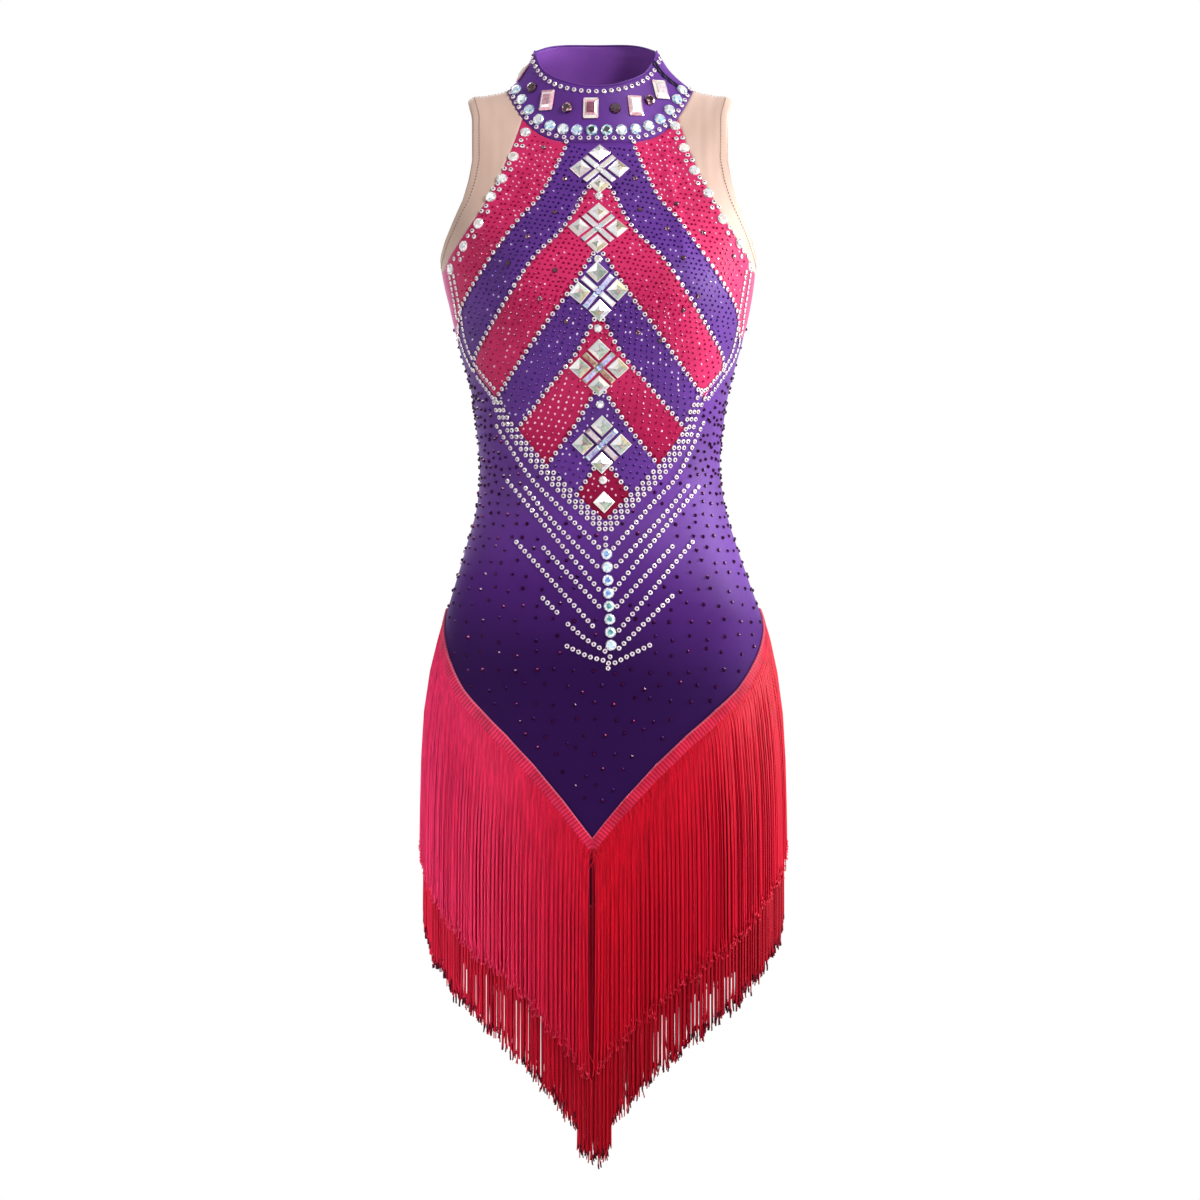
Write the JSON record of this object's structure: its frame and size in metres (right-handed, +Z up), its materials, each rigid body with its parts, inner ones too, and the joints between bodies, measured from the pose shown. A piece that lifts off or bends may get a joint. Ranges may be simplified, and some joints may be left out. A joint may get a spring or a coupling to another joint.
{
  "type": "ballroom dance dress",
  "caption": "Sleeveless ballroom dance dress with a stand collar, a chevron bodice set with crystals, skin-toned shoulder insets and tiered hanging fringe on a pointed hem.",
  "frame": {"origin": "on the centre line at the height of the shoulder points, where the wearer carries the dress", "axes": "+Z up, the front faces -Y, +X towards the wearer's left"},
  "size_m": [0.3682, 0.2718, 1.1113],
  "materials": {
    "purple_lycra": "matte-satin stretch lycra, purple",
    "fuchsia_lycra": "matte-satin stretch lycra, fuchsia",
    "skin_tulle": "skin-toned stretch tulle",
    "crimson_rayon_fringe": "crimson rayon chainette fringe",
    "foiled_glass_crystal": "cut glass with a foiled back"
  },
  "bodies": {
    "root": {"back_body": "purple_lycra", "bodice_side_left": "fuchsia_lycra", "bodice_side_right": "fuchsia_lycra", "chevron_1_purple": "purple_lycra", "chevron_2_fuchsia": "fuchsia_lycra", "chevron_3_purple": "purple_lycra", "chevron_4_fuchsia": "fuchsia_lycra", "chevron_5_purple": "purple_lycra", "chevron_6_fuchsia": "fuchsia_lycra", "collar": "purple_lycra", "cross_1": "foiled_glass_crystal", "cross_2": "foiled_glass_crystal", "cross_3": "foiled_glass_crystal", "cross_4": "foiled_glass_crystal", "cross_5": "foiled_glass_crystal", "fringe_lower_left": "crimson_rayon_fringe", "fringe_lower_right": "crimson_rayon_fringe", "fringe_upper_left": "crimson_rayon_fringe", "fringe_upper_right": "crimson_rayon_fringe", "front_body": "purple_lycra", "pyramid_1_bottom": "foiled_glass_crystal", "pyramid_1_left": "foiled_glass_crystal", "pyramid_1_right": "foiled_glass_crystal", "pyramid_1_top": "foiled_glass_crystal", "pyramid_2_bottom": "foiled_glass_crystal", "pyramid_2_left": "foiled_glass_crystal", "pyramid_2_right": "foiled_glass_crystal", "pyramid_2_top": "foiled_glass_crystal", "pyramid_3_bottom": "foiled_glass_crystal", "pyramid_3_left": "foiled_glass_crystal", "pyramid_3_right": "foiled_glass_crystal", "pyramid_3_top": "foiled_glass_crystal", "pyramid_4_bottom": "foiled_glass_crystal", "pyramid_4_left": "foiled_glass_crystal", "pyramid_4_right": "foiled_glass_crystal", "pyramid_4_top": "foiled_glass_crystal", "pyramid_5_bottom": "foiled_glass_crystal", "pyramid_5_left": "foiled_glass_crystal", "pyramid_5_right": "foiled_glass_crystal", "pyramid_5_top": "foiled_glass_crystal", "pyramid_6": "foiled_glass_crystal", "shoulder_back_left": "skin_tulle", "shoulder_back_right": "skin_tulle", "shoulder_front_left": "skin_tulle", "shoulder_front_right": "skin_tulle"}
  },
  "joints": []
}
